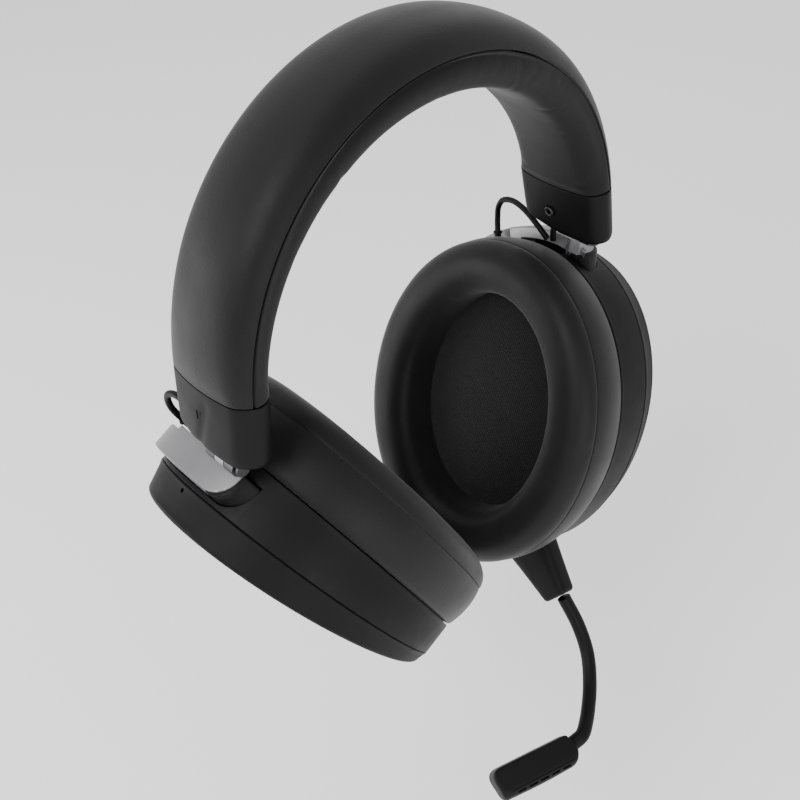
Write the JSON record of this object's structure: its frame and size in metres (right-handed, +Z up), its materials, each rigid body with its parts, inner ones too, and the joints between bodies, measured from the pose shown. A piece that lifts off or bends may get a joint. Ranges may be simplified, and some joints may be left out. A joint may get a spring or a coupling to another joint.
{
  "type": "gaming headset",
  "caption": "Over-ear wireless gaming headset: padded band, aluminium sliders and yokes, tilting oval ear cups with soft cushions, plug-in boom microphone.",
  "frame": {"origin": "where the crown of the wearer's head meets the underside of the headband pad, on the headset's middle plane", "axes": "+X towards the wearer's left, +Y towards the back, +Z up"},
  "size_m": [0.1614, 0.1162, 0.2234],
  "materials": {
    "band_leatherette": "matt leatherette with a fine grain",
    "band_pad_leatherette": "matt leatherette, darker than the cover",
    "cushion_leatherette": "soft matt leatherette",
    "black_plastic": "fine moulded texture",
    "soft_touch_cover": "soft-touch paint",
    "satin_aluminium": "blasted and anodised grey",
    "steel": "plain",
    "black_steel": "black oxide",
    "soft_rubber": "matt",
    "lead_rubber": "matt",
    "ear_cloth": "fine mesh",
    "circuit_board": "solder mask",
    "battery_foil": "foil"
  },
  "bodies": {
    "headband": {"headband_cover": "band_leatherette", "headband_pad": "band_pad_leatherette", "headband_spring": "steel", "end_cap_left": "black_plastic", "end_cap_right": "black_plastic", "end_cap_screw_left": "black_steel", "end_cap_screw_right": "black_steel"},
    "slider_left": {"slider_left": "satin_aluminium", "tilt_pin_left": "steel", "lead_upper_left": "lead_rubber"},
    "slider_right": {"slider_right": "satin_aluminium", "tilt_pin_right": "steel", "lead_upper_right": "lead_rubber"},
    "cup_left": {"yoke_left": "satin_aluminium", "cup_shell_left": "black_plastic", "cup_cover_left": "soft_touch_cover", "ear_cushion_left": "cushion_leatherette", "baffle_left": "black_plastic", "driver_left": "steel", "ear_screen_left": "ear_cloth", "lead_loop_left": "lead_rubber", "lead_grommet_left": "lead_rubber", "circuit_board": "circuit_board", "mic_socket": "black_plastic", "volume_axle": "steel"},
    "cup_right": {"yoke_right": "satin_aluminium", "cup_shell_right": "black_plastic", "cup_cover_right": "soft_touch_cover", "ear_cushion_right": "cushion_leatherette", "baffle_right": "black_plastic", "driver_right": "steel", "ear_screen_right": "ear_cloth", "lead_loop_right": "lead_rubber", "lead_grommet_right": "lead_rubber", "battery": "battery_foil", "charge_port": "steel"},
    "microphone": {"mic_plug": "steel", "mic_boot": "soft_rubber", "mic_boom": "soft_rubber", "mic_capsule": "black_plastic", "mic_grille": "black_steel"},
    "volume_wheel": {"volume_wheel": "black_plastic"},
    "mute_button": {"mute_button": "black_plastic"},
    "power_button": {"power_button": "black_plastic"}
  },
  "joints": [
    {"name": "slider_left", "type": "slide", "parent": "headband", "child": "slider_left", "axis": [0.1316, 0, -0.9913], "range_m": [0, 0.025]},
    {"name": "tilt_left", "type": "hinge", "parent": "slider_left", "child": "cup_left", "pos_m": [0.066, 0, -0.06916], "axis": [0, 1, 0], "range_deg": [-25, 0], "deforming": ["lead_loop_left"]},
    {"name": "slider_right", "type": "slide", "parent": "headband", "child": "slider_right", "axis": [-0.1316, 0, -0.9913], "range_m": [0, 0.025]},
    {"name": "tilt_right", "type": "hinge", "parent": "slider_right", "child": "cup_right", "pos_m": [-0.066, 0, -0.06916], "axis": [0, 1, 0], "range_deg": [0, 25], "deforming": ["lead_loop_right"]},
    {"name": "mic_unplug", "type": "slide", "parent": "cup_left", "child": "microphone", "axis": [-0.1805, -0.808, -0.5608], "range_m": [0, 0.022]},
    {"name": "volume_turn", "type": "hinge", "parent": "cup_left", "child": "volume_wheel", "pos_m": [0.0381, 0.03936, -0.1413], "axis": [0.9225, 0, -0.3859], "range_deg": [-140, 140]},
    {"name": "mute_press", "type": "slide", "parent": "cup_left", "child": "mute_button", "axis": [0.2618, -0.7347, 0.6259], "range_m": [0, 0.0005], "stiffness_N_per_m": 1500},
    {"name": "power_press", "type": "slide", "parent": "cup_right", "child": "power_button", "axis": [-0.1734, -0.9146, 0.3652], "range_m": [0, 0.0005], "stiffness_N_per_m": 1500}
  ]
}
